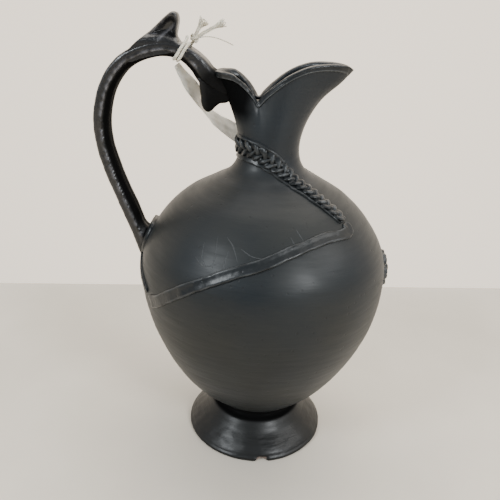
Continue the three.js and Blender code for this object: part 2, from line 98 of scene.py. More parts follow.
class Curve:
    """A smooth centripetal curve through points, read by point number or by length."""

    def __init__(self, points, closed=False):
        p = np.asarray(points, float)
        if closed:
            control = np.vstack([p[-1:], p, p[:2]])
        else:
            control = np.vstack([2 * p[:1] - p[1:2], p, 2 * p[-1:] - p[-2:-1]])
        spans = []
        for p0, p1, p2, p3 in zip(control, control[1:], control[2:], control[3:]):
            d01, d12, d23 = (max(np.linalg.norm(b - a) ** 0.5, 1e-4)
                             for a, b in ((p0, p1), (p1, p2), (p2, p3)))
            leave = ((p1 - p0) / d01 - (p2 - p0) / (d01 + d12) + (p2 - p1) / d12) * d12
            arrive = ((p2 - p1) / d12 - (p3 - p1) / (d12 + d23) + (p3 - p2) / d23) * d12
            spans.append([p1, leave, 3 * (p2 - p1) - 2 * leave - arrive, 2 * (p1 - p2) + leave + arrive])
        self.spans = np.array(spans)
        self.steps = np.linspace(0, 1, CURVE_STEPS)
        dense = self.at(self.steps)
        gaps = np.linalg.norm(np.diff(dense, axis=0), axis=1)
        self.lengths = np.concatenate([[0], np.cumsum(gaps)])
        self.length = self.lengths[-1]

    def _local(self, t):
        t = np.clip(np.asarray(t, float), 0, 1) * len(self.spans)
        span = np.minimum(t.astype(int), len(self.spans) - 1)
        return self.spans[span], (t - span)[..., None]

    def at(self, t):
        c, w = self._local(t)
        return c[..., 0, :] + w * (c[..., 1, :] + w * (c[..., 2, :] + w * c[..., 3, :]))

    def slope(self, t):
        c, w = self._local(t)
        d = c[..., 1, :] + w * (2 * c[..., 2, :] + w * 3 * c[..., 3, :])
        return d / np.maximum(np.linalg.norm(d, axis=-1, keepdims=True), 1e-9)

    def step(self, share):
        """The curve's own parameter at a share of its length."""
        return np.interp(np.asarray(share, float) * self.length, self.lengths, self.steps)


def ripple(points, size, seed):
    """Smooth noise from -1 to 1 that changes over about size, the same on each run."""
    rng = np.random.default_rng(seed)
    points = np.asarray(points, float)
    total = np.zeros(points.shape[:-1])
    for _ in range(WAVES):
        way = rng.normal(size=points.shape[-1])
        way *= rng.uniform(0.6, 1.7) * 2 * math.pi / (size * np.linalg.norm(way))
        total += np.sin(points @ way + rng.uniform(0, 2 * math.pi))
    return total / WAVES * 1.6


def smooth(low, high, value):
    t = np.clip((np.asarray(value, float) - low) / (high - low), 0, 1)
    return t * t * (3 - 2 * t)


def mix(a, b, t):
    return a + (b - a) * t


def bell(distance, width):
    return np.exp(-((distance / width) ** 2))


# -------------------------------------------------- pieces


MERGE_M = 1e-7
DEGENERATE_M = 1e-8
SHARP_ANGLE = math.radians(55)


def ring_faces(rows, cols, closed):
    """Quads between rings of points, and from the last ring back to the first if closed."""
    faces = []
    for i in range(rows if closed else rows - 1):
        for j in range(cols):
            a, b = i * cols + j, i * cols + (j + 1) % cols
            c, d = (i + 1) % rows * cols + (j + 1) % cols, (i + 1) % rows * cols + j
            faces.append((a, b, c, d))
    return faces


class Shape:
    """Points in mm, faces, and a value for each point that marks rubbed clay and painted highlight above 0
    and painted shade below 0, gathered into one mesh.
    """

    def __init__(self):
        self.points, self.faces, self.wear_and_painted_light = [], [], []
        self.count = 0

    def loft(self, rings, wear_and_painted_light=None, closed=False):
        """Rings of points as a closed tube: a loop of rings, or a run that is capped by fans."""
        rings = np.asarray(rings, float)
        rows, cols = rings.shape[:2]
        faces = ring_faces(rows, cols, closed)
        points = rings.reshape(-1, 3)
        wear_and_painted_light = np.zeros(rows * cols) if wear_and_painted_light is None else np.asarray(wear_and_painted_light, float).ravel()
        if not closed:
            points = np.vstack([points, rings[0].mean(0), rings[-1].mean(0)])
            wear_and_painted_light = np.concatenate([wear_and_painted_light, [wear_and_painted_light[0], wear_and_painted_light[-1]]])
            first, last = rows * cols, rows * cols + 1
            faces += [(first, (j + 1) % cols, j) for j in range(cols)]
            top = (rows - 1) * cols
            faces += [(last, top + j, top + (j + 1) % cols) for j in range(cols)]
        self.points.append(points)
        self.wear_and_painted_light.append(wear_and_painted_light)
        self.faces += [tuple(self.count + k for k in face) for face in faces]
        self.count += len(points)
        return self


def piece(name, shape, material, node, body="jug"):
    """A smooth mesh object from a shape, in the row's frame, that stands for a node of a body."""
    points = (np.vstack(shape.points) + (AXIS_X, 0, 0)) * MM
    mesh = bpy.data.meshes.new(name)
    mesh.from_pydata(points.tolist(), [], shape.faces)
    wear_and_painted_light = mesh.attributes.new("wear_and_painted_light", "FLOAT", "POINT")
    wear_and_painted_light.data.foreach_set("value", np.concatenate(shape.wear_and_painted_light).astype(np.float32))
    work = bmesh.new()
    work.from_mesh(mesh)
    bmesh.ops.remove_doubles(work, verts=work.verts, dist=MERGE_M)
    bmesh.ops.dissolve_degenerate(work, edges=work.edges, dist=DEGENERATE_M)
    bmesh.ops.recalc_face_normals(work, faces=work.faces)
    work.to_mesh(mesh)
    work.free()
    mesh.shade_smooth()
    mesh.set_sharp_from_angle(angle=SHARP_ANGLE)
    mesh.materials.append(material)
    obj = bpy.data.objects.new(name, mesh)
    bpy.context.scene.collection.objects.link(obj)
    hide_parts(node)
    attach(obj, body)
    return obj


# -------------------------------------------------- node helpers


class Nodes:
    """A material's node tree with short ways to add and link nodes."""

    def __init__(self, name):
        self.material = bpy.data.materials.new(name)
        self.material.use_nodes = True
        self.tree = self.material.node_tree
        self.shader = self.tree.nodes["Principled BSDF"]
        self.coord = self.add("ShaderNodeTexCoord").outputs["Object"]

    def add(self, kind, **settings):
        node = self.tree.nodes.new(kind)
        for key, value in settings.items():
            setattr(node, key, value)
        return node

    def link(self, value, socket):
        if hasattr(value, "is_output"):
            self.tree.links.new(value, socket)
        else:
            socket.default_value = value

    def scaled(self, scale):
        node = self.add("ShaderNodeMapping")
        self.link(self.coord, node.inputs["Vector"])
        node.inputs["Scale"].default_value = scale
        return node.outputs["Vector"]

    def noise(self, scale, detail, rough=0.55, vector=None, distortion=0.0):
        node = self.add("ShaderNodeTexNoise")
        self.link(self.coord if vector is None else vector, node.inputs["Vector"])
        node.inputs["Scale"].default_value = scale
        node.inputs["Detail"].default_value = detail
        node.inputs["Roughness"].default_value = rough
        node.inputs["Distortion"].default_value = distortion
        return node.outputs["Fac"]

    def specks(self, scale, radius):
        """1 inside small scattered spots, 0 elsewhere."""
        node = self.add("ShaderNodeTexVoronoi")
        self.link(self.coord, node.inputs["Vector"])
        node.inputs["Scale"].default_value = scale
        return self.span(node.outputs["Distance"], radius, radius * 0.5, 0, 1)

    def span(self, value, low, high, to_low, to_high):
        node = self.add("ShaderNodeMapRange")
        self.link(value, node.inputs["Value"])
        for socket, number in zip(node.inputs[1:5], (low, high, to_low, to_high)):
            socket.default_value = number
        return node.outputs["Result"]

    def math(self, operation, a, b):
        node = self.add("ShaderNodeMath", operation=operation)
        self.link(a, node.inputs[0])
        self.link(b, node.inputs[1])
        return node.outputs[0]

    def mix(self, factor, a, b):
        node = self.add("ShaderNodeMix", data_type="RGBA")
        self.link(factor, node.inputs["Factor"])
        self.link(a, node.inputs[6])
        self.link(b, node.inputs[7])
        return node.outputs[2]

    def attribute(self, name):
        return self.add("ShaderNodeAttribute", attribute_name=name).outputs["Fac"]

    def bump(self, height, distance, strength, under=None):
        node = self.add("ShaderNodeBump")
        self.link(height, node.inputs["Height"])
        node.inputs["Distance"].default_value = distance
        node.inputs["Strength"].default_value = strength
        if under is not None:
            self.link(under, node.inputs["Normal"])
        return node.outputs["Normal"]


def srgb(red, green, blue):
    """A colour as 0 to 255 screen values, turned into the linear colour that shaders take."""
    def line(v):
        v /= 255
        return v / 12.92 if v <= 0.04045 else ((v + 0.055) / 1.055) ** 2.4
    return (line(red), line(green), line(blue), 1)


def shade(colour, share):
    return tuple(share * part for part in colour[:3]) + (1,)


WORN_CLAY = srgb(90, 94, 97)
# Near black painted into undersides and hollows where shade falls.
PAINTED_SHADE = srgb(9, 9, 9)
PIT = srgb(16, 15, 15)


def clay(name, cool, warm, rough, strokes, gloss, worn_and_highlight=WORN_CLAY, stroke_depth=0.00005, shine=0.22):
    """Rubbed black clay with strokes, grain and pits. A point's value above 0 mixes in the rubbed colour,
    which also paints highlights and glints; below 0 it mixes in near black as painted shade.
    """
    n = Nodes(name)
    blotch = n.noise(22, 3, 0.5)
    streak = n.noise(1, 5, 0.62, n.scaled(strokes))
    fine = n.noise(1, 3, 0.5, n.scaled(tuple(s * 3.1 for s in strokes)))
    grain = n.noise(1900, 2, 0.6)
    smudge = n.noise(13, 2, 0.45, distortion=0.6)
    pits = n.specks(210, 0.16)
    # The value above 0 is rubbed clay and painted highlight; below 0 it is painted shade.
    mark = n.attribute("wear_and_painted_light")
    wear_and_painted_light = n.math("MAXIMUM", mark, 0.0)
    painted_shade = n.math("MAXIMUM", n.math("MULTIPLY", mark, -1.0), 0.0)

    colour = n.mix(n.span(blotch, 0.35, 0.68, 0, 1), cool, warm)
    colour = n.mix(n.span(streak, 0.3, 0.72, 0, 0.2), colour, shade(cool, 0.65))
    colour = n.mix(n.span(fine, 0.55, 0.8, 0, 0.2), colour, shade(warm, 1.5))
    # Rubbed clay and painted highlights, broken up by grain.
    colour = n.mix(n.math("MULTIPLY", wear_and_painted_light, n.span(grain, 0.35, 0.65, 0.55, 1)), colour, worn_and_highlight)
    colour = n.mix(n.span(smudge, 0.5, 0.68, 0, 0.4), colour, shade(cool, 0.5))
    colour = n.mix(n.math("MULTIPLY", pits, 0.3), colour, PIT)
    # Painted shade, mixed towards near black.
    colour = n.mix(n.math("MULTIPLY", painted_shade, 0.92), colour, PAINTED_SHADE)
    n.link(colour, n.shader.inputs["Base Color"])

    roughness = n.span(streak, 0.3, 0.7, rough - 0.04, rough + 0.06)
    roughness = n.math("ADD", roughness, n.span(blotch, 0.3, 0.7, -0.04, 0.05))
    roughness = n.math("ADD", roughness, n.math("MULTIPLY", painted_shade, 0.3))
    n.link(roughness, n.shader.inputs["Roughness"])
    n.link(n.math("MULTIPLY", n.math("SUBTRACT", 1.0, painted_shade), gloss), n.shader.inputs["Coat Weight"])
    n.shader.inputs["Coat Roughness"].default_value = 0.28
    n.link(n.math("MULTIPLY", n.math("SUBTRACT", 1.05, painted_shade), shine), n.shader.inputs["Specular IOR Level"])

    normal = n.bump(streak, stroke_depth * 4, 0.6)
    normal = n.bump(fine, stroke_depth, 0.6, normal)
    normal = n.bump(grain, 0.00002, 0.5, normal)
    normal = n.bump(pits, -0.00012, 0.5, normal)
    n.link(normal, n.shader.inputs["Normal"])
    return n.material


BODY_CLAY = clay("body_clay", cool=srgb(24, 29, 33), warm=srgb(31, 33, 32), rough=0.48,
                 strokes=(48, 48, 560), gloss=0.1)
NECK_CLAY = clay("neck_clay", cool=srgb(28, 33, 38), warm=srgb(34, 36, 36), rough=0.48,
                 strokes=(48, 48, 560), gloss=0.1)
FOOT_CLAY = clay("foot_clay", cool=srgb(14, 15, 17), warm=srgb(18, 19, 18), rough=0.42,
                 strokes=(40, 40, 600), gloss=0.14, worn_and_highlight=srgb(150, 130, 120), stroke_depth=0.00012,
                 shine=0.24)
# The relief's rubbed colour also paints highlights on the lip, the plait and the strips' crests.
RELIEF_CLAY = clay("relief_clay", cool=srgb(22, 26, 30), warm=srgb(28, 30, 30), rough=0.33,
                   strokes=(160, 160, 160), gloss=0.15, worn_and_highlight=srgb(98, 102, 105), stroke_depth=0.0001)
# The strap's rubbed colour also paints the glints along its ridges.
STRAP_CLAY = clay("strap_clay", cool=srgb(17, 18, 20), warm=srgb(26, 24, 23), rough=0.3,
                  strokes=(210, 420, 210), gloss=0.25, worn_and_highlight=srgb(118, 117, 122), stroke_depth=0.0002,
                  shine=0.4)

# -------------------------------------------------- the pot's outer skin

SKIN = Curve(SKIN_OUTLINE)
SKIN_SHARES = np.linspace(0, 1, 2001)
SKIN_HEIGHTS = SKIN.at(SKIN.step(SKIN_SHARES))[:, 1]


def share_at(z):
    return np.interp(z, SKIN_HEIGHTS, SKIN_SHARES)


def skin_profile(share, lift=0.0):
    """(radius, height) at a share of the skin's length, lifted off along its normal."""
    t = SKIN.step(share)
    at, along = SKIN.at(t), SKIN.slope(t)
    return at[..., 0] + along[..., 1] * lift, at[..., 1] - along[..., 0] * lift


def turned(angle, radius, height):
    """Points at a radius and a height, turned round the pot's axis."""
    angle, radius, height = np.broadcast_arrays(angle, radius, height)
    return np.stack([radius * np.cos(angle), radius * np.sin(angle), height], -1)


def skin_point(angle, share, lift):
    return turned(angle, *skin_profile(share, lift))


def hand_made(points):
    """How far the thrown wall strays from true, in mm: slow swells and the rubbing's facets."""
    swell = 0.32 * ripple(points, 70, 11) + 0.12 * ripple(points, 24, 12)
    facets = 0.045 * ripple(points * (1, 1, 5), 22, 13)
    return swell + facets


def make_foot():
    outline = Curve([
        (FOOT_R - 4.6, 0.05), (FOOT_R - 1.2, 0.05), (FOOT_R - 0.2, 0.35), (FOOT_R, 1.1),
        (FOOT_R - 0.15, 2), (FOOT_R - 0.9, 2.7), (39.1, 3.9), (36.9, 6.2), (34, 8.6), (30.3, 12),
        (27.8, 15.3), (26.4, 17), (25.4, 17.5), (24, 17.9), (22.9, 18.9), (22.4, 20.4),
        (21.6, 21.2), (20.2, 20.6), (19.1, 18), (20, 15), (22.6, 11.6), (28, 7), (33, 3),
        (35, 0.9), (35.5, 0.2),
    ], closed=True)
    profile = outline.at(outline.step(np.linspace(0, 1, 120, endpoint=False)))
    angles = np.linspace(0, 2 * math.pi, 320, endpoint=False)
    points = turned(angles, profile[:, :1], profile[:, 1:])
    out = smooth(26, 34, np.hypot(points[..., 0], points[..., 1]))
    swell = (0.35 * ripple(points, 34, 21) + 0.14 * ripple(points, 9, 22)) * out
    swell += 0.035 * ripple(points, 2.6, 25) * out
    points[..., 2] += swell * smooth(1, 5, points[..., 2]) * 0.8
    points[..., 0] += swell * np.cos(angles) * 0.6
    points[..., 1] += swell * np.sin(angles) * 0.6

    turn = (angles - CHIP_ANGLE + math.pi) % (2 * math.pi) - math.pi
    beside = turn[None] * FOOT_R
    shift = 0.8 * ripple(points, 5, 23)
    depth = np.clip(1 - ((beside + shift) / CHIP_HALF) ** 2, 0, 1) ** 0.7
    outside = smooth(FOOT_R - 5, FOOT_R - 1.5, np.hypot(points[..., 0], points[..., 1]))
    low = 1 - smooth(1.8, 3.3, points[..., 2])
    bite = depth * outside * low
    rough_bite = bite * (1 + 0.35 * ripple(points, 1.6, 24))
    points[..., 0] -= CHIP_DEPTH * rough_bite * np.cos(angles)
    points[..., 1] -= CHIP_DEPTH * rough_bite * np.sin(angles)
    points[..., 2] += CHIP_RISE * rough_bite * (1 - smooth(1.2, 2.6, points[..., 2]))
    reach = np.hypot(points[..., 0], points[..., 1])
    # Paler clay where the chip bites in, and painted shade on the ring at the top of the stem, under the
    # body.
    wear_and_painted_light = smooth(0.25, 0.7, bite) - 0.95 * smooth(27.4, 25.8, reach) * (points[..., 2] > 15)
    piece("flared_foot", Shape().loft(points, wear_and_painted_light, closed=True), FOOT_CLAY, "foot")


# -------------------------------------------------- neck and mouth

RIM = Curve(RIM_HALF + [(x, -half, z) for x, half, z in RIM_HALF[-2:0:-1]], closed=True)


def mouth_point(share, rise, inset):
    """A point of the mouth's wall: rise runs from the waist, 0, to the rim, 1."""
    share, rise, inset = np.broadcast_arrays(share, rise, inset)
    angle = share * 2 * math.pi
    edge, along = RIM.at(share % 1), RIM.slope(share % 1)
    side = np.stack([along[..., 1], -along[..., 0]], -1)
    side /= np.linalg.norm(side, axis=-1, keepdims=True)
    flare = np.maximum(rise, 0) ** mix(FLARE_FRONT, FLARE_REAR, (1 - np.cos(angle)) / 2)
    flare += TIP_FULLNESS * smooth(26, 38, edge[..., 0]) * bell(rise - 0.85, 0.13)
    waist = WAIST_R - inset
    x = mix(waist * np.cos(angle), edge[..., 0] - side[..., 0] * inset, flare)
    y = mix(waist * np.sin(angle), edge[..., 1] - side[..., 1] * inset, flare)
    return np.stack([x, y, mix(WAIST_Z, edge[..., 2], rise)], -1)


def rise_below(share, depth):
    return 1 - depth / (RIM.at(share % 1)[..., 2] - WAIST_Z)


STATIONS = np.linspace(0, 1, 280, endpoint=False)
WAIST_ROWS = range(20, 34)
EASING_PASSES = 12


def settle(grid):
    """The grid with its columns evened out round the waist, to ease the change of slope there."""
    for _ in range(EASING_PASSES):
        for i in WAIST_ROWS:
            grid[i] = (grid[i - 1] + 2 * grid[i] + grid[i + 1]) / 4
    return grid


def make_neck():
    low = np.linspace(share_at(NECK_JOINT_Z), share_at(WAIST_Z), 26)[:-1, None]
    rises = np.linspace(0, 1, 72)[:, None]
    angles = 2 * math.pi * STATIONS[None]
    top = rise_below(STATIONS[None], LIP_H - 0.1)

    def wall(inset, lift):
        return np.concatenate([skin_point(angles, low, lift),
                               mouth_point(STATIONS[None], rises * top, inset)])

    outer = wall(0.0, 0.0)
    ease = 1 - smooth(len(low), len(low) + 40, np.arange(len(outer)))[:, None]
    lift = hand_made(outer) * ease
    outer = wall(0.0, lift[:len(low)])
    radial = np.stack([np.cos(angles), np.sin(angles)], -1)
    outer[len(low):, :, :2] += radial * lift[len(low):][..., None]
    outer = settle(outer)
    inner = settle(wall(MOUTH_WALL, -MOUTH_WALL))
    rings = np.concatenate([outer, inner[::-1]])
    x, z = rings[..., 0], rings[..., 2]
    # Painted shade on the rear of the mouth, under its rear lobe.
    painted_shade = smooth(-6.5, -13, x + 0.9 * ripple(rings, 9, 36)) * smooth(184, 194, z)
    piece("neck_wall", Shape().loft(rings, -painted_shade, closed=True), NECK_CLAY,
          "neck_and_spout")


def make_lip():
    section = Curve([
        (3.15, 0.1), (3.05, -0.5), (2.8, -0.82), (2.3, -0.84), (1.6, -0.72), (0.95, -0.74),
        (0.45, -0.5), (0.12, 0), (0, 0.9), (0.02, 2), (0.25, 3.1), (0.7, 3.7), (1.5, 3.95),
        (2.6, 3.98), (3.15, 3.9), (3.2, 2),
    ], closed=True)
    ring = section.at(section.step(np.linspace(0, 1, 56, endpoint=False)))
    share = np.linspace(0, 1, 560, endpoint=False)[:, None]
    depth, inset = ring[:, 0][None], ring[:, 1][None]
    along = RIM.at(share)[..., 0]
    inset = np.where(inset < 0, inset * (0.25 + 0.75 * smooth(38.6, 31, along)), inset)
    points = mouth_point(share, rise_below(share, depth), inset)
    rear = smooth(-4, -14, points[..., 0])
    rough = mix(0.10, 0.24, rear) * ripple(points, 3.2, 31) + 0.12 * ripple(points, 14, 32)
    points = mouth_point(share, rise_below(share, depth + 0.5 * rough * (depth < 2.4)),
                         inset - rough * (inset < 1))
    # A painted highlight along the lip's lower outer edge, stronger towards the spout, and painted glints
    # on the rear of the lip's outside.
    edge = bell(depth - 2.85, 0.35) * bell(inset + 0.7, 0.5)
    wear_and_painted_light = 1.3 * edge * (0.7 + 0.3 * ripple(points, 8, 33)) * (0.6 + 0.4 * smooth(2, 26, along))
    wear_and_painted_light += 0.3 * rear * np.clip(ripple(points, 2.6, 34), 0, 1) * (inset < 0)
    piece("rolled_lip", Shape().loft(points, wear_and_painted_light, closed=True), RELIEF_CLAY,
          "lip_coil")


# -------------------------------------------------- handle

HANDLE = Curve([(x, 0, z) for x, z in HANDLE_LINE])


def strap_point(share, across, out, slide=0.0):
    share, across, out, slide = np.broadcast_arrays(share, across, out, slide)
    t = HANDLE.step(share)
    at, along = HANDLE.at(t), HANDLE.slope(t)
    outward = np.stack([-along[..., 2], np.zeros_like(share), along[..., 0]], -1)
    place = at + along * slide[..., None] + outward * out[..., None]
    place[..., 1] += across
    return place


STRAP_SECTION = Curve([
    (-6.2, 3.35), (-5, 3.7), (0, 3.75), (5, 3.7), (6.2, 3.35), (6.9, 2.5), (7, 1.2), (6.9, -0.2),
    (6.6, -1.2), (5.4, -2.5), (4, -3.3), (2.4, -3.75), (0, -3.5), (-2.4, -3.75), (-4, -3.4),
    (-5.3, -2.4), (-6.5, -1.3), (-7.1, -0.5), (-7.05, 0.6), (-6.95, 2.4),
], closed=True)


STRAP_START = 0.03
STRAP_END = 0.996
END_ROUNDING = 0.05
BURIED_DEPTH = 2
SHOULDER_Z = 140


def make_strap():
    """The strap from its root, which is rounded and swells into the body's wall, to the mouth."""
    ring = STRAP_SECTION.at(STRAP_SECTION.step(np.linspace(0, 1, 96, endpoint=False)))
    share = np.linspace(STRAP_START, STRAP_END, 560)[:, None]
    a, b = ring[:, 0][None], ring[:, 1][None]
    to_root = np.clip((STRAP_START + END_ROUNDING - share) / END_ROUNDING, 0, 1)
    a = a * (0.3 + 0.7 * np.sqrt(1 - to_root ** 2))
    inwards = ROOT_SWELL * (1 - smooth(0.06, 0.15, share)) * np.clip(-b / 3.75, 0, 1)
    outwards = MOUTH_SWELL * smooth(0.82, 0.95, share) * np.clip(b / 3.75, 0, 1)
    b = b + outwards - inwards
    points = strap_point(share, a, b)
    ridge = bell(a + 6.9, 0.9) * bell(b + 0.7, 1.0)
    far_ridge = bell(a - 6.9, 0.9) * bell(b - 2.2, 1.0)
    top_edge = bell(a + 6.2, 0.8) * bell(b - 3.4, 0.8)
    lump = 0.30 * ripple(points, 2.4, 41) * (ridge + 0.7 * far_ridge)
    lump += 0.16 * ripple(points, 4.5, 42) * top_edge
    sway = 0.20 * ripple(points, 30, 43) + 0.08 * ripple(points, 9, 44)
    scale = 1 + (lump + sway) / np.maximum(np.hypot(a, b), 3)
    points = strap_point(share, a * scale, b * scale)
    in_wall = skin_profile(share_at(points[..., 2]))[0] - BURIED_DEPTH
    reach = np.hypot(points[..., 0], points[..., 1])
    buried = (reach < in_wall) & (points[..., 2] < SHOULDER_Z)
    points[..., :2] *= np.where(buried, in_wall / reach, 1)[..., None]
    # Painted glints in patches along the strap's ridges and top edge.
    patchy = np.clip(0.45 + 1.0 * ripple(points, 4, 45), 0, 1)
    wear_and_painted_light = (0.75 * ridge + 0.4 * far_ridge + 0.3 * top_edge) * patchy
    # Painted shade on the strap's inner face, from the near side to past the middle, and over its end under
    # the mouth.
    under = smooth(-0.5, -1.9, b + inwards) * smooth(4, 0.5, a) * (0.25 + 0.75 * smooth(0.1, 0.17, share))
    end = smooth(0.875, 0.93, share)
    painted_shade = np.clip(under + 0.9 * end, 0, 1)
    wear_and_painted_light = wear_and_painted_light * (1 - end)
    piece("strap", Shape().loft(points, wear_and_painted_light - painted_shade), STRAP_CLAY, "handle_strap")


def relief_plate(outline, heart, profile):
    """A leaf of clay from nested outlines: profile gives (share from edge to heart, half depth)."""
    edge = Curve([(x, 0, z) for x, z in outline], closed=True)
    ring = edge.at(edge.step(np.linspace(0, 1, 180, endpoint=False)))
    heart = np.array([heart[0], 0, heart[1]])
    rows = []
    for inward, half in profile:
        row = ring + (heart - ring) * inward
        row[:, 1] = half
        rows.append(row)
    front = [row * (1, -1, 1) for row in rows[::-1]]
    return np.array(front + rows[1:])


def make_thumb_rest():
    outline = [
        (-73, 216.4), (-69.4, 220), (-66.2, 223), (-62.2, 226.3), (-57.4, 230.5), (-52.5, 235),
        (-49.4, 237), (-47.2, 236.4), (-46.3, 233.4), (-47, 229), (-47.4, 226), (-46.4, 223.6),
        (-46.2, 221), (-50, 218.6), (-56, 217.4), (-64, 215.4), (-70, 213.6),
    ]
    profile = [(0, 0), (0, 2.4), (0.05, 3.8), (0.12, 4.45), (0.2, 4.3), (0.3, 3.3), (0.42, 2.1),
               (0.5, 1.7), (0.58, 1.5), (0.68, 1.3), (0.78, 1.2), (0.88, 1.15), (1, 1.1)]
    rows = relief_plate(outline, (-51.5, 228.2), profile)
    rows[..., 1] += 0.22 * ripple(rows, 5, 51) * np.sign(rows[..., 1])
    pit = bell(rows[..., 0] + 50.4, 3.4) * bell(rows[..., 2] - 226, 2.6)
    rows[..., 1] *= 1 - 0.35 * pit
    x, z = rows[..., 0], rows[..., 2]
    strap_top = 224.2 - np.where(x < -52, 0.018, 0.036) * (x + 52) ** 2
    root = 6.85 * (1 - smooth(-0.5, 5.5, z - strap_top + 0.16 * (x + 50)))
    rows[..., 1] = np.sign(rows[..., 1]) * np.maximum(np.abs(rows[..., 1]), root)
    # A painted highlight along the fold of the hollow, and rubbing along the rim.
    fold = (z - 224.6) - 0.95 * (x + 55.5)
    streak = bell(fold, 1.0) * smooth(-57, -54, x) * (1 - smooth(-49.5, -47.5, x))
    rim = bell(np.abs(rows[..., 1]) - 4.3, 0.4) * (0.4 + 0.6 * smooth(-50, -58, x))
    wear_and_painted_light = np.maximum(0.5 * streak, 0.5 * rim * np.clip(0.5 + ripple(rows, 4, 52), 0, 1))
    # Painted shade in the pit of the hollow.
    wear_and_painted_light -= 0.9 * bell(x + 49.5, 2.2) * bell(z - 225.6, 2.2) * (np.abs(rows[..., 1]) < 4)
    piece("thumb_leaf", Shape().loft(rows, wear_and_painted_light), STRAP_CLAY, "thumb_rest")


def make_hook():
    outline = [
        (-37, 208), (-36.4, 206), (-36, 202.6), (-35.4, 199), (-35, 195), (-33.9, 192.4), (-31.8, 191),
        (-29.8, 191.8), (-27.6, 194), (-25.4, 195.6), (-22, 196.2), (-20, 198), (-20, 203), (-27, 205),
        (-32, 208),
    ]
    profile = [(0, 0), (0.01, 3.6), (0.04, 5.3), (0.1, 6.2), (0.2, 6.6), (0.5, 6.8), (1, 6.9)]
    rows = relief_plate(outline, (-28.5, 200), profile)
    rows[..., 1] += 0.25 * ripple(rows, 6, 61) * np.sign(rows[..., 1])
    # Painted shade over the hook, darkest towards the neck.
    painted_shade = 0.55 + 0.4 * smooth(-35.5, -31, rows[..., 0])
    piece("hook_nub", Shape().loft(rows, -painted_shade), STRAP_CLAY, "handle_hook")


# -------------------------------------------------- relief on the skin

FRONT_SETBACK = 14


def left_of(degrees):
    return FRONT_SETBACK * (180 + degrees) / 144 - degrees


def left_route(route):
    return [(left_of(degrees), z) for degrees, z in route]


def round_route(half):
    return half + [(left_of(degrees) - 360, z) for degrees, z in half[-2::-1]]


class SkinPath:
    """A line drawn on the skin through (degrees round, height) points."""

    def __init__(self, route, samples):
        flat = Curve([(math.radians(degrees), share_at(z)) for degrees, z in route])
        self.t = np.linspace(0, 1, samples)
        at, along = flat.at(self.t), flat.slope(self.t)
        self.angle, self.share = at[:, 0], at[:, 1]
        self.radius = skin_profile(self.share)[0]
        turn, rise = along[:, 0] * self.radius, along[:, 1] * SKIN.length
        length = np.hypot(turn, rise)
        self.round, self.up = -rise / length, turn / length
        middle = skin_point(self.angle, self.share, 0)
        gaps = np.linalg.norm(np.diff(middle, axis=0), axis=1)
        self.run = np.concatenate([[0], np.cumsum(gaps)])

    def beside(self, side, lift):
        """Points beside the line, side and lift in mm, one row for each sample."""
        angle = self.angle[:, None] + side * self.round[:, None] / self.radius[:, None]
        share = self.share[:, None] + side * self.up[:, None] / SKIN.length
        return skin_point(angle, share, lift)

    def end_fade(self, length):
        """1 along the line, rounding down to 0 over a length at both ends."""
        near = np.minimum(self.run, self.run[-1] - self.run) / length
        return np.sqrt(np.clip(1 - (1 - np.clip(near, 0, 1)) ** 2, 0, 1))


def band(path, half_width, section, thickness, rough, seed):
    """A strip laid on the skin: section gives (side share, height share) from edge to edge."""
    sides, heights = np.array(section).T[:, None]
    side = sides * half_width[:, None]
    height = heights * thickness[:, None]
    points = path.beside(side, height)
    noise = rough * ripple(points, 4.5, seed) + rough * ripple(points, 1.6, seed + 1) * 0.5
    outer = np.abs(side) > 0.6 * half_width[:, None]
    return path.beside(side + noise * outer, height + noise * 0.5 * heights)


STRIP_SECTION = [
    (-1, -0.4), (-1.02, 0.1), (-1.0, 0.5), (-0.93, 0.84), (-0.8, 1.0), (-0.6, 0.98), (-0.3, 0.86),
    (0, 0.82), (0.3, 0.88), (0.6, 1.0), (0.8, 1.04), (0.93, 0.86), (1.0, 0.5), (1.02, 0.1), (1, -0.4),
    (0.5, -0.4), (0, -0.4), (-0.5, -0.4),
]
BORDER_ROUTE = [
    (-36.9, 144.6), (-36.2, 142.6), (-38.6, 141.3), (-55, 141.5), (-66, 140.1), (-78, 137.4), (-90, 133.2),
    (-103, 128.6), (-112, 124), (-121, 118.3), (-131, 110.6), (-140, 103.4), (-146, 100), (-147.2, 99.3),
]
TAIL_ROUTE = [(-173, 113.4), (-165, 109), (-158, 106.2), (-150.5, 102.8)]
COLLAR_ROUTE = round_route([
    (-38, 145), (-38.3, 146.2), (-41, 150.5), (-45, 154.8), (-54, 160), (-68, 165.8), (-86, 170.2),
    (-106, 172.8), (-130, 174.3), (-180, 174.8),
])
PLAIT_ROUTE = round_route([
    (-36.4, 145.2), (-40, 152), (-44.5, 157.4), (-56, 162.6), (-71, 167), (-86, 170.3), (-101, 173),
    (-122, 175), (-180, 175.4),
])

# Burrs that a tool's tip has left on the shoulder, as (degrees round, height) routes.
SCRATCHES = [
    [(-121, 138), (-119.5, 133), (-115, 128.6)], [(-115, 141.5), (-112.8, 134), (-112.5, 127)],
    [(-110, 142), (-105, 138.6), (-101.5, 133.4)], [(-123, 132), (-117, 129.4), (-110, 131.6)],
    [(-107, 137), (-107.5, 131), (-104, 127.6)], [(-101, 138.5), (-95, 136), (-88, 135.4)],
    [(-71.5, 146), (-68.8, 141.6)], [(-75.5, 143.4), (-73.4, 139)],
]


BURR_HALF = 0.36
BURR_SECTION = np.array([(-1, -0.5), (-0.6, 0.22), (0, 0.3), (0.6, 0.22), (1, -0.5)])


def add_scratch(shape, route):
    path = SkinPath(route, 40)
    width = BURR_HALF * np.sin(math.pi * np.linspace(0.06, 0.94, 40))[:, None]
    ground = hand_made(path.beside(np.zeros_like(width), 0))
    burr = path.beside(width * BURR_SECTION[:, 0], width * BURR_SECTION[:, 1] + ground)
    shape.loft(burr, np.full(burr.shape[:2], 0.3))


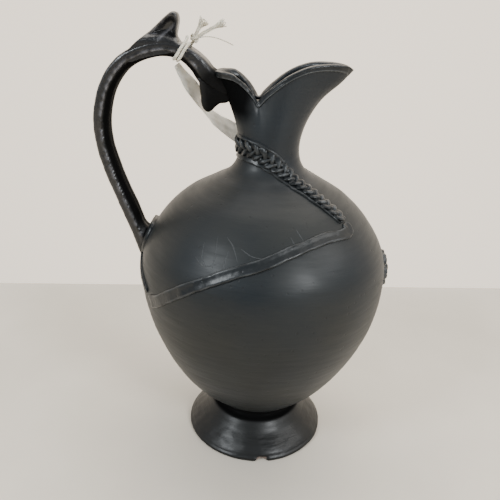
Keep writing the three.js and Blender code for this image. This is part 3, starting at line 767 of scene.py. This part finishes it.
def make_body():
    angles = np.linspace(0, 2 * math.pi, 256, endpoint=False)
    top = share_at(NECK_JOINT_Z)
    outer_shares = np.concatenate([[0.0], np.linspace(0.01, top, 190)])
    inner_shares = np.linspace(top, 0.02, 60)
    outer = skin_point(angles[None], outer_shares[:, None], 0.0)
    lift = hand_made(outer) * smooth(0.02, 0.12, outer_shares)[:, None]
    outer = skin_point(angles[None], outer_shares[:, None], lift)
    inner = skin_point(angles[None], inner_shares[:, None], -WALL)
    rings = np.concatenate([outer[1:], inner])
    # Painted shade low on the body, where it overhangs the foot.
    painted_shade = 0.95 * (1 - smooth(21.5, 26, rings[..., 2]))
    shape = Shape().loft(rings, -painted_shade)
    for route in SCRATCHES:
        add_scratch(shape, route)
    piece("vessel_body", shape, BODY_CLAY, "body")


def make_border(name, route, node, seed):
    path = SkinPath(route, 420)
    fade = path.end_fade(2.6)
    half = (2.8 + 1.0 * path.t ** 6 + 0.25 * ripple(path.run[:, None], 17, seed)) * (0.35 + 0.65 * fade)
    thickness = (1.35 + 0.15 * ripple(path.run[:, None], 12, seed + 1)) * (0.3 + 0.7 * fade)
    points = band(path, half, STRIP_SECTION, thickness, 0.1, seed + 2)
    section = np.array(STRIP_SECTION)
    # Lighter crests along the strip's two edges: rubbing, and a painted highlight.
    crest = bell(np.abs(section[:, 0]) - 0.88, 0.12) * (section[:, 1] > 0.6)
    wear_and_painted_light = crest[None] * np.clip(0.4 + 0.8 * ripple(points, 9, seed + 3), 0, 1) * 0.5
    piece(name, Shape().loft(points, wear_and_painted_light), RELIEF_CLAY, node)


def make_tail(name, route, node, seed):
    path = SkinPath(route, 120)
    fade = path.end_fade(2)
    half = mix(2.1, 1.4, path.t) * (0.3 + 0.7 * fade)
    thickness = 1.15 * (0.3 + 0.7 * fade)
    points = band(path, half, STRIP_SECTION, thickness, 0.1, seed)
    piece(name, Shape().loft(points), RELIEF_CLAY, node)


def make_collar():
    path = SkinPath(COLLAR_ROUTE, 640)
    fade = path.end_fade(3)
    half = mix(2.7, 6.25, np.sin(math.pi * path.run / path.run[-1]) ** 2.2) * (0.4 + 0.6 * fade)
    half += 0.25 * ripple(path.run[:, None], 13, 71)
    thickness = 0.85 * (0.4 + 0.6 * fade)
    section = [
        (-1, -0.9), (-1.01, 0.1), (-0.99, 0.7), (-0.93, 1.1), (-0.84, 1.15), (-0.7, 0.85), (-0.35, 0.8),
        (0, 0.8), (0.35, 0.8), (0.7, 0.85), (0.84, 1.15), (0.93, 1.1), (0.99, 0.7), (1.01, 0.1), (1, -0.9),
        (0.5, -0.9), (0, -0.9), (-0.5, -0.9),
    ]
    points = band(path, half, section, thickness, 0.09, 72)
    sides = np.array([s for s, _ in section])
    # Lighter crests along the collar's two edges: rubbing, and a painted highlight.
    crest = bell(np.abs(sides) - 0.88, 0.1)
    wear_and_painted_light = crest[None] * np.clip(0.3 + 0.9 * ripple(points, 7, 73), 0, 1) * 0.5
    piece("collar", Shape().loft(points, wear_and_painted_light), RELIEF_CLAY, "collar_band")


PLAIT_TURNS = 12


def make_plait():
    path = SkinPath(PLAIT_ROUTE, PLAIT_TURNS * 56)
    ring = np.linspace(0, 2 * math.pi, 14, endpoint=False)
    fade = path.end_fade(4)
    for strand in range(1, 4):
        share = path.run / path.run[-1]
        phase = 2 * math.pi * (PLAIT_TURNS * share + strand / 3)
        spread = mix(1.2, 2.7, np.sin(math.pi * share) ** 0.5)
        side = spread * np.sin(phase)
        height = 1.1 + 0.5 * np.sin(2 * phase)
        a = 1.75 * (0.35 + 0.65 * fade)[:, None] * np.cos(ring)[None]
        b = 0.9 * (0.35 + 0.65 * fade)[:, None] * np.sin(ring)[None]
        points = path.beside(side[:, None] + a, height[:, None] + b)
        noise = 0.2 * ripple(points, 2.6, 80 + strand)
        points = path.beside(side[:, None] + a + noise, height[:, None] + b + noise)
        # Lighter outer tops of the strands that ride highest: rubbing, and a painted highlight.
        crest = np.clip(np.sin(ring), 0, 1) ** 2
        wear_and_painted_light = crest[None] * smooth(1.0, 1.6, height)[:, None] * 0.6
        wear_and_painted_light = wear_and_painted_light * np.clip(0.4 + 0.8 * ripple(points, 5, 84 + strand), 0, 1)
        piece(f"plait_{strand}", Shape().loft(points, wear_and_painted_light), RELIEF_CLAY,
              f"plait_strand_{strand}")


def make_root_pad():
    outline = Curve([(130, 7), (128.5, 9.4), (126, 10.8), (122, 11.8), (118, 10.6), (114, 7.6),
                     (110.5, 4.2), (108, 1.2), (107.4, 0.3)])
    rows = outline.at(outline.step(np.linspace(0, 1, 90)))
    z, half = rows[:, 0], rows[:, 1]
    top = mix(2.2, 1.2, np.linspace(0, 1, 90)) * np.sqrt(np.clip((z - 107) / 4, 0, 1))
    sides = np.array([-1, -0.98, -0.9, -0.72, -0.45, 0, 0.45, 0.72, 0.9, 0.98, 1, 0.5, 0, -0.5])
    lifts = np.array([-0.2, 0.35, 0.75, 0.95, 0.9, 0.95, 0.9, 0.95, 0.75, 0.35, -0.2, -0.2, -0.2, -0.2])
    share = share_at(z)[:, None]
    radius = skin_profile(share)[0]
    points = skin_point(math.pi + sides[None] * half[:, None] / radius, share, lifts[None] * top[:, None])
    piece("root_tongue", Shape().loft(points), RELIEF_CLAY, "handle_root_pad")


FLOWER_Z = 109.2
FLOWER_R = 10.6
PETALS = 6


def make_flower():
    share = share_at(FLOWER_Z)
    radius = skin_profile(share)[0]
    spin = np.linspace(0, 2 * math.pi, 240, endpoint=False)
    reach = np.linspace(0.001, 1, 40)
    scallop = FLOWER_R * (0.84 + 0.16 * np.abs(np.cos(PETALS * spin / 2)) ** 0.6)
    petal = np.abs(np.cos(PETALS * spin / 2))
    rise = 2.0 * smooth(1.02, 0.86, reach)[:, None] * (0.7 + 0.3 * petal)[None]
    rise = rise * (1 - 0.45 * bell(reach - 0.3, 0.16)[:, None])
    groove = 1 - 0.8 * (1 - petal[None]) ** 3 * smooth(0.2, 0.5, reach)[:, None]
    vein = 1 - 0.16 * bell(petal - 1, 0.02)[None] * smooth(0.25, 0.5, reach)[:, None]
    lift = rise * groove * vein
    away = reach[:, None] * scallop[None]

    def on_skin(away, lift):
        return skin_point(away * np.cos(spin)[None] / radius,
                          share + away * np.sin(spin)[None] / SKIN.length, lift)

    front = on_skin(away, lift)
    back = on_skin(away[::-8], -0.3)
    crest = smooth(0.75, 0.9, reach)[:, None] * petal[None] * 0.35
    wear_and_painted_light = np.concatenate([crest, np.zeros(back.shape[:2])])
    piece("flower_petals", Shape().loft(np.concatenate([front, back]), wear_and_painted_light), RELIEF_CLAY,
          "front_flower")

    tall = np.linspace(0, math.pi / 2, 16)
    dome_away = 2.7 * np.cos(tall)[:, None] * (1 + 0.05 * np.sin(7 * spin))[None]
    dome_lift = 1.1 + 2.3 * np.sin(tall)[:, None]
    dome_lift -= 0.5 * bell(np.cos(tall), 0.35)[:, None]
    piece("flower_boss", Shape().loft(on_skin(dome_away, dome_lift)), RELIEF_CLAY,
          "front_flower_centre")


# -------------------------------------------------- twine


def cotton():
    n = Nodes("cotton_twine")
    fibre = n.noise(1, 4, 0.6, n.scaled((2600, 2600, 2600)))
    stain = n.noise(160, 3)
    colour = n.mix(n.span(stain, 0.35, 0.7, 0, 1), srgb(214, 208, 192), srgb(190, 182, 162))
    colour = n.mix(n.span(fibre, 0.5, 0.8, 0, 0.5), colour, srgb(232, 228, 216))
    n.link(colour, n.shader.inputs["Base Color"])
    n.shader.inputs["Roughness"].default_value = 0.85
    n.shader.inputs["Sheen Weight"].default_value = 0.3
    n.shader.inputs["Subsurface Weight"].default_value = 0.15
    n.shader.inputs["Subsurface Radius"].default_value = (0.001, 0.0008, 0.0006)
    n.link(n.bump(fibre, 0.00012, 0.7), n.shader.inputs["Normal"])
    return n.material


COTTON = cotton()


def frames(path):
    """Unit side and up vectors that turn as little as they can along a path of points."""
    along = np.gradient(path, axis=0)
    along /= np.linalg.norm(along, axis=1)[:, None]
    side = np.cross(along[0], (0.3, 0.2, 1))
    sides = []
    for a in along:
        side = side - a * (side @ a)
        side /= np.linalg.norm(side)
        sides.append(side)
    sides = np.array(sides)
    return sides, np.cross(along, sides)


def tube(shape, path, radius, sides=8):
    """A round tube along a path of points."""
    side, up = frames(path)
    ring = np.linspace(0, 2 * math.pi, sides, endpoint=False)
    rings = path[:, None] + radius * (side[:, None] * np.cos(ring)[None, :, None]
                                      + up[:, None] * np.sin(ring)[None, :, None])
    shape.loft(rings)


def twist(shape, path, radius, pitch=4.2, plies=3):
    """Plied twine along a path: each ply winds round it once in a pitch."""
    gaps = np.linalg.norm(np.diff(path, axis=0), axis=1)
    run = np.concatenate([[0], np.cumsum(gaps)])
    side, up = frames(path)
    orbit, ply_radius = radius * 0.5, radius * 0.56
    for ply in range(plies):
        phase = 2 * math.pi * (run / pitch + ply / plies)
        line = path + orbit * (side * np.cos(phase)[:, None] + up * np.sin(phase)[:, None])
        tube(shape, line, ply_radius)


def resample(points, step):
    line = Curve(points)
    return line.at(line.step(np.linspace(0, 1, max(8, int(line.length / step)))))


KNOT = strap_point(STRING_AT, 4.6, STRAP_T / 2 + 3.8, 2.6)
TURN_SPACING = 1.9
TURN_LEAN = 1.6
LEAN_ANGLE = math.radians(110)
TWINE_STEP = 0.3
LOOSE_HAIRS = 46
HAIR_R = 0.035
TAIL_FIBRES = 46
FIBRE_R = 0.2
THREAD_R = 0.3


def turn_point(angle, slide, rise):
    """A point of a turn, which runs round the strap as a rounded rectangle and leans a little."""
    clear = TWINE_R + 0.1

    def power(v):
        return np.sign(v) * np.abs(v) ** 0.7

    across = (STRAP_W / 2 + clear) * power(np.cos(angle))
    out = (STRAP_T / 2 + clear) * power(np.sin(angle)) + rise
    return strap_point(STRING_AT, across, out, slide + TURN_LEAN * np.cos(angle - LEAN_ANGLE))


def make_string():
    share = np.linspace(0, 1, 160)
    from_end = np.minimum(share, 1 - share)
    rise = 2.6 * bell(from_end, 0.045)
    slide = mix(-1, 1, share) * TURN_SPACING
    turns = turn_point(np.radians(57 + 720 * share), slide, rise)
    shape = Shape()
    path = resample(turns, TWINE_STEP)
    twist(shape, path, TWINE_R)
    rng = np.random.default_rng(5)
    for _ in range(LOOSE_HAIRS):
        i = rng.integers(4, len(path) - 4)
        way = rng.normal(size=3)
        way /= np.linalg.norm(way)
        start = path[i] + way * 0.4
        tip = start + way * rng.uniform(0.6, 1.5) + rng.normal(size=3) * 0.4
        bend = (start + tip) / 2 + rng.normal(size=3) * 0.2
        tube(shape, resample([start, bend, tip], TWINE_STEP), HAIR_R, 4)
    piece("twine_turns", shape, COTTON, "string_turns")

    t = np.linspace(0, 2 * math.pi, 120)
    loops = np.stack([np.sin(t) + 2 * np.sin(2 * t), np.cos(t) - 2 * np.cos(2 * t),
                      -1.6 * np.sin(3 * t)], -1)
    loops = loops * (0.62, 0.5, 0.6) @ np.array(Matrix.Rotation(math.radians(35), 3, "Y")).T
    knot = Shape()
    twist(knot, resample(KNOT + loops, 0.25), TWINE_R * 0.92)
    piece("twine_knot", knot, COTTON, "string_knot")


def frayed(route, splay, seed, solid):
    """A tail of twine whose fibres come apart after a solid share of its length."""
    shape = Shape()
    rng = np.random.default_rng(seed)
    line = Curve([KNOT + np.array(p) for p in route])
    t = np.linspace(0, 1, 40)
    path = line.at(line.step(t))
    side, up = frames(path)
    for _ in range(TAIL_FIBRES):
        turn = rng.uniform(0, 2 * math.pi)
        away = rng.uniform(0.15, 1) ** 0.5
        reach = rng.uniform(0.82, 1)
        open_up = 0.75 + splay * away * smooth(solid, 1, t) ** 1.2
        wave = 0.25 * np.sin(t * rng.uniform(5, 12) + rng.uniform(0, 6)) * smooth(solid * 0.7, 1, t)
        phase = turn + 5 * t * (1 - smooth(solid, 1, t)) + wave
        offset = open_up * away
        points = path + offset[:, None] * (side * np.cos(phase)[:, None] + up * np.sin(phase)[:, None])
        tube(shape, points[:int(len(points) * reach)], FIBRE_R, 5)
    return shape


def make_tails():
    brush = frayed([(0, 0, 0), (2.4, 0, 4.8), (5.4, 0, 9)], splay=2.2, seed=7, solid=0.45)
    piece("twine_brush", brush, COTTON, "string_tail_brush")
    tail = frayed([(0.4, 0.5, 0), (8, 3, 4.6), (15.2, 5, 8)], splay=1.9, seed=8, solid=0.6)
    piece("twine_long", tail, COTTON, "string_tail_long")
    route = [(0.6, -0.6, -0.3), (5, -1, 1), (10, -1, 0.9), (15, -2, -0.4), (19.6, -3, -2.2)]
    thread = Shape()
    twist(thread, resample(KNOT + np.array(route), TWINE_STEP), THREAD_R, pitch=2.2, plies=2)
    piece("twine_thread", thread, COTTON, "string_tail_thread")


# -------------------------------------------------- label

# The label's middle line, as (x, y, height, degrees that its width turns from front-to-back).
LABEL_ROUTE = [
    (-48.2, 0, 212.6, 40), (-45.8, 1.2, 208.4, 45), (-42.6, 3.2, 204, 55), (-39.5, 5.6, 199.2, 38),
    (-36, 8.4, 192.3, 12), (-32.3, 10.4, 187.9, 18), (-27.9, 13, 183.6, 38), (-22.4, 15.4, 179.7, 58),
    (-17, 17.2, 176, 72), (-12, 18.6, 172.7, 74),
]
LABEL_CURLED_W = 8.8
LABEL_HALF_THICKNESS = 0.11


def film():
    n = Nodes("label_film")
    cloud = n.noise(240, 4, 0.6)
    crease = n.noise(1, 3, 0.5, n.scaled((900, 260, 700)))
    colour = n.mix(n.span(cloud, 0.3, 0.7, 0, 1), srgb(246, 244, 236), srgb(224, 220, 208))
    n.link(colour, n.shader.inputs["Base Color"])
    n.link(n.span(crease, 0.3, 0.7, 0.32, 0.6), n.shader.inputs["Roughness"])
    n.shader.inputs["Alpha"].default_value = 0.8
    n.shader.inputs["Subsurface Weight"].default_value = 0.3
    n.shader.inputs["Subsurface Radius"].default_value = (0.003, 0.0028, 0.0024)
    n.link(n.bump(crease, 0.0003, 0.6), n.shader.inputs["Normal"])
    return n.material


def make_label():
    route = np.array(LABEL_ROUTE, float)
    line, turn = Curve(route[:, :3]), Curve(route[:, 3:])
    t = np.linspace(0, 1, 150)
    at, along = line.at(t), line.slope(t)
    angle = np.radians(turn.at(t)[:, 0])
    across = np.stack([np.sin(angle), np.cos(angle), np.zeros_like(angle)], -1)
    across -= along * (across * along).sum(1)[:, None]
    across /= np.linalg.norm(across, axis=1)[:, None]
    face = np.cross(along, across)
    half = LABEL_CURLED_W / 2 * np.minimum(1, 0.45 + 1.5 * t)
    side = np.linspace(-1, 1, 25)
    curl = 0.9 * (side ** 2)[None] * (0.4 + 0.6 * np.sin(7 * t + 0.6))[:, None]
    middle = at[:, None] + across[:, None] * (side[None] * half[:, None])[..., None]
    curl = curl + 0.18 * ripple(middle, 5, 91)
    middle = middle + face[:, None] * curl[..., None]
    front = middle + face[:, None] * LABEL_HALF_THICKNESS
    back = middle - face[:, None] * LABEL_HALF_THICKNESS
    rings = np.concatenate([front, back[:, ::-1]], 1)
    label = piece("label_strip", Shape().loft(rings), film(), "label", "label")


# -------------------------------------------------- floor, light and camera, m

TABLE_HALF = 3.0
TABLE_FRONT_Y = -2.6
TABLE_EDGE_Y = 0.181
TABLE_EDGE_TURN = math.radians(5.7)
LIT_MIDDLE = (0.009, 0, 0.1)
CAMERA_Y = -0.2884
CAMERA_Z = 0.2407
CAMERA_PITCH = math.radians(23.514)
CAMERA_YAW = math.radians(-1.5)
CAMERA_ROLL = math.radians(2.545)
SENSOR_MM = 36
LENS_MM = 40.32


def make_floor():
    n = Nodes("floor_paint")
    cloud = n.noise(6, 4)
    n.link(n.mix(n.span(cloud, 0.3, 0.7, 0, 1), srgb(212, 204, 190), srgb(198, 190, 177)),
           n.shader.inputs["Base Color"])
    n.shader.inputs["Roughness"].default_value = 0.8
    n.link(n.bump(n.noise(900, 3), 0.0002, 0.4), n.shader.inputs["Normal"])
    rise = TABLE_HALF * math.tan(TABLE_EDGE_TURN)
    corners = [(-TABLE_HALF, TABLE_FRONT_Y, 0), (TABLE_HALF, TABLE_FRONT_Y, 0),
               (TABLE_HALF, TABLE_EDGE_Y + rise, 0), (-TABLE_HALF, TABLE_EDGE_Y - rise, 0)]
    mesh = bpy.data.meshes.new("floor")
    mesh.from_pydata(corners, [], [(0, 1, 2, 3)])
    mesh.shade_smooth()
    mesh.materials.append(n.material)
    floor = bpy.data.objects.new("floor", mesh)
    bpy.context.scene.collection.objects.link(floor)


def area_light(name, place, target, size, power, colour):
    lamp = bpy.data.lights.new(name, "AREA")
    lamp.shape = "RECTANGLE"
    lamp.size, lamp.size_y = size
    lamp.energy = power
    lamp.color = colour
    obj = bpy.data.objects.new(name, lamp)
    obj.location = place
    obj.rotation_euler = (Vector(target) - Vector(place)).to_track_quat("-Z", "Y").to_euler()
    bpy.context.scene.collection.objects.link(obj)


def away(azimuth, height, distance):
    """A place round the pot, from azimuth degrees right of the front and height degrees up."""
    turn, rise = math.radians(azimuth), math.radians(height)
    return (LIT_MIDDLE[0] + distance * math.sin(turn) * math.cos(rise),
            -distance * math.cos(turn) * math.cos(rise), LIT_MIDDLE[2] + distance * math.sin(rise))


def make_lights():
    area_light("window_left", away(-50, 34, 1.5), LIT_MIDDLE, (0.4, 0.34), 15, (0.92, 0.97, 1))
    area_light("window_right", away(40, 28, 1.5), LIT_MIDDLE, (0.4, 0.26), 16, (0.95, 0.98, 1))
    area_light("side_right", away(78, 34, 1.6), LIT_MIDDLE, (0.7, 0.6), 8, (1, 0.99, 0.97))
    area_light("overhead", (0.1, 0.5, 1.6), (0, 0.1, 0), (1.8, 1.2), 24, (1, 0.97, 0.93))


def make_room():
    """A pale wall behind the pot, whose glow fades to a dim room in front of it."""
    world = bpy.data.worlds.new("room")
    world.use_nodes = True
    tree = world.node_tree
    coord = tree.nodes.new("ShaderNodeTexCoord")
    split = tree.nodes.new("ShaderNodeSeparateXYZ")
    tree.links.new(coord.outputs["Generated"], split.inputs[0])
    ramp = tree.nodes.new("ShaderNodeValToRGB")
    turn = tree.nodes.new("ShaderNodeMapRange")
    tree.links.new(split.outputs["Y"], turn.inputs["Value"])
    turn.inputs["From Min"].default_value = -1
    turn.inputs["From Max"].default_value = 1
    tree.links.new(turn.outputs["Result"], ramp.inputs["Fac"])
    stops = [(0.0, (0.24, 0.27, 0.31)), (0.45, (0.42, 0.44, 0.46)), (0.8, (1.5, 1.34, 1.13)),
             (1.0, (1.95, 1.72, 1.42))]
    ramp.color_ramp.elements[0].position = stops[0][0]
    ramp.color_ramp.elements[1].position = stops[-1][0]
    for place, _ in stops[1:-1]:
        ramp.color_ramp.elements.new(place)
    for element, (_, colour) in zip(ramp.color_ramp.elements, stops):
        element.color = colour + (1,)
    back = tree.nodes["Background"]
    tree.links.new(ramp.outputs["Color"], back.inputs["Color"])
    bpy.context.scene.world = world


def make_camera():
    """In front of the pot's axis and about level with its top, looking down and a little left."""
    place = Vector((AXIS_X * MM, CAMERA_Y, CAMERA_Z))
    level = math.cos(CAMERA_PITCH)
    ahead = Vector((math.sin(CAMERA_YAW) * level, math.cos(CAMERA_YAW) * level, -math.sin(CAMERA_PITCH)))
    right = Vector((math.cos(CAMERA_YAW), -math.sin(CAMERA_YAW), 0))
    up = right.cross(ahead)
    tilted_right = right * math.cos(CAMERA_ROLL) + up * math.sin(CAMERA_ROLL)
    tilted_up = up * math.cos(CAMERA_ROLL) - right * math.sin(CAMERA_ROLL)
    camera = bpy.data.objects.new("camera", bpy.data.cameras.new("camera"))
    camera.data.sensor_width = SENSOR_MM
    camera.data.lens = LENS_MM
    camera.data.clip_start = 0.01
    turn = Matrix((tilted_right, tilted_up, -ahead)).transposed()
    camera.matrix_world = Matrix.Translation(place) @ turn.to_4x4()
    bpy.context.scene.collection.objects.link(camera)
    bpy.context.scene.camera = camera


# -------------------------------------------------- everything

make_camera()
make_body()
make_foot()
make_neck()
make_lip()
make_strap()
make_thumb_rest()
make_hook()
make_root_pad()
make_border("border_right", BORDER_ROUTE, "border_strip_right", 101)
make_border("border_left", left_route(BORDER_ROUTE), "border_strip_left", 111)
make_tail("tail_right", TAIL_ROUTE, "root_tail_right", 121)
make_tail("tail_left", left_route(TAIL_ROUTE), "root_tail_left", 125)
make_collar()
make_plait()
make_flower()
make_string()
make_tails()
make_label()
make_floor()
make_lights()
make_room()
